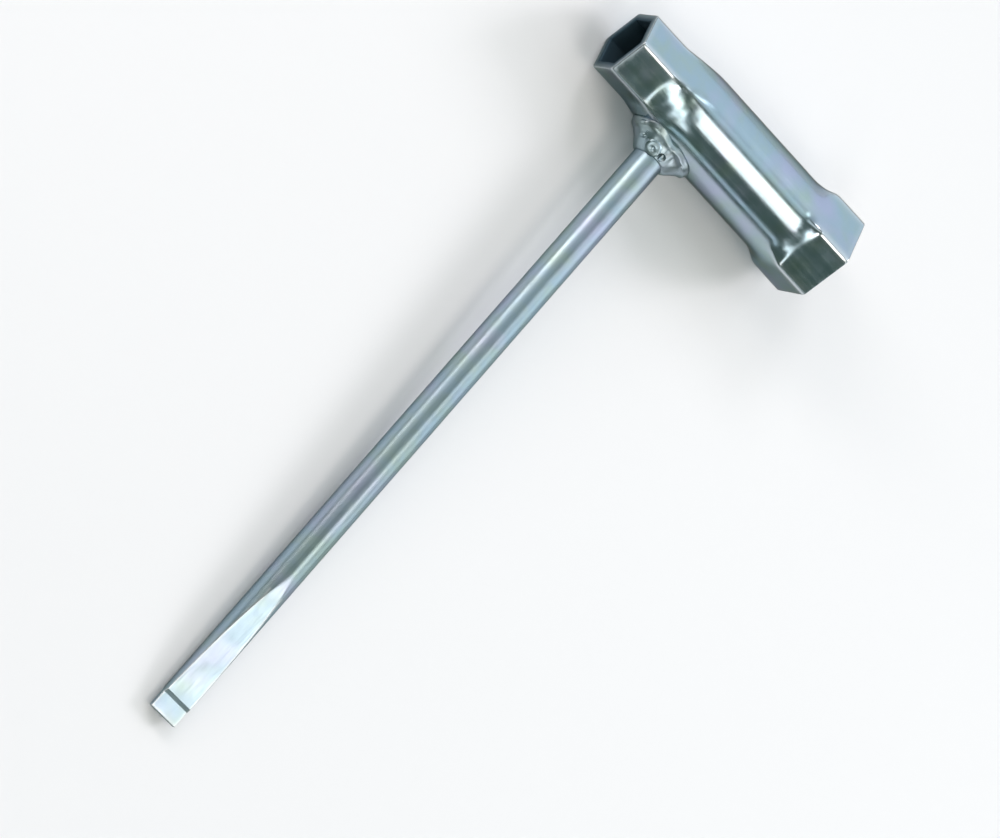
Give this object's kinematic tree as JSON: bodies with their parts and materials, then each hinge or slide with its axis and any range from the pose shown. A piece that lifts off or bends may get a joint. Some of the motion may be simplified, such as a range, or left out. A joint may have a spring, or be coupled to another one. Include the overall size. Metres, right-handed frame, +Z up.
{
  "type": "chainsaw combination wrench",
  "caption": "T-shaped chainsaw wrench: a steel tube head with a small and a large hexagon socket, and a welded round bar that ends in a flat screwdriver blade.",
  "frame": {"origin": "on the bench that the wrench lies on, under the middle of its bounding box", "axes": "+Z up from the bench; the bar runs along -Y to its blade; the head lies along X, with the spark plug socket at +X and the bar nut socket at -X"},
  "size_m": [0.075, 0.2002, 0.0269],
  "materials": {
    "pressed_tube": "steel tube, bright zinc plate with a blue-clear passivate",
    "drawn_bar": "drawn steel bar, bright zinc plate with a blue-clear passivate",
    "weld_metal": "weld metal under the same zinc plate, rippled"
  },
  "bodies": {
    "root": {"socket_tube": "pressed_tube", "screwdriver_bar": "drawn_bar", "weld_run_bar_nut_side": "weld_metal", "weld_run_spark_plug_side": "weld_metal"}
  },
  "joints": []
}
